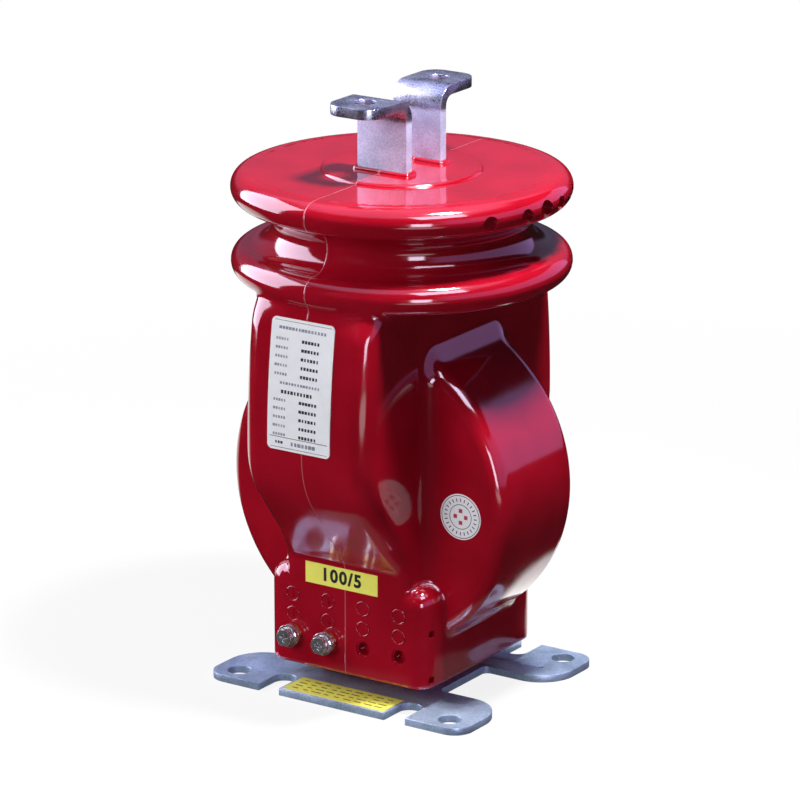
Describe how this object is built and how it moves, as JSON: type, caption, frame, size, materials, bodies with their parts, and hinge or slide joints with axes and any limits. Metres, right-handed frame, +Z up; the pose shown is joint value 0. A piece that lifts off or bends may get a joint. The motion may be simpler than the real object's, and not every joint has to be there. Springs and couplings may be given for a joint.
{
  "type": "wound current transformer",
  "caption": "Cast-resin wound current transformer with ribbed head, bent bar terminals for the line and screw terminals for the meter side, on a flat steel base.",
  "frame": {"origin": "on the floor under the middle of the base plate, where the two centre lines of the fixing holes cross", "axes": "+Z up, -Y towards the face with the secondary terminals and the nameplate, +X to the right of a person who looks at that face"},
  "size_m": [0.1999, 0.2081, 0.358],
  "materials": {
    "resin": "glossy dark red cast resin",
    "zinc_plate": "bright zinc-plated sheet steel",
    "tinned_bar": "satin tinned copper bar",
    "copper": "bare copper strip",
    "enamelled_wire": "enamelled copper wire",
    "core_strip": "dull rolled electrical steel strip",
    "screen": "foil and semiconducting tape",
    "wrap": "crepe paper and tape",
    "laminate": "glass-fibre laminate",
    "brass_insert": "turned brass",
    "zinc_screw": "zinc-plated steel",
    "name_plate": "white printed plate",
    "yellow_label": "yellow printed film",
    "paper_label": "white round sticker"
  },
  "bodies": {
    "root": {"base_plate": "zinc_plate", "resin_body": "resin", "terminal_front": "tinned_bar", "terminal_rear": "tinned_bar", "coil_tails": "copper", "joint_rivets": "copper", "primary_coil": "copper", "coil_wrap": "wrap", "coil_spacer": "laminate", "core": "core_strip", "core_wrap": "wrap", "secondary_winding": "enamelled_wire", "winding_screen": "screen", "lead_s1": "enamelled_wire", "lead_s2": "enamelled_wire", "screen_lead": "copper", "terminal_inserts": "brass_insert", "plain_washers": "zinc_screw", "spring_washers": "zinc_screw", "clamp_washers": "zinc_screw", "terminal_screws": "zinc_screw", "base_inserts": "zinc_screw", "base_screws": "zinc_screw", "nameplate": "name_plate", "ratio_label": "yellow_label", "inspection_sticker": "paper_label", "base_label": "yellow_label"}
  },
  "joints": []
}
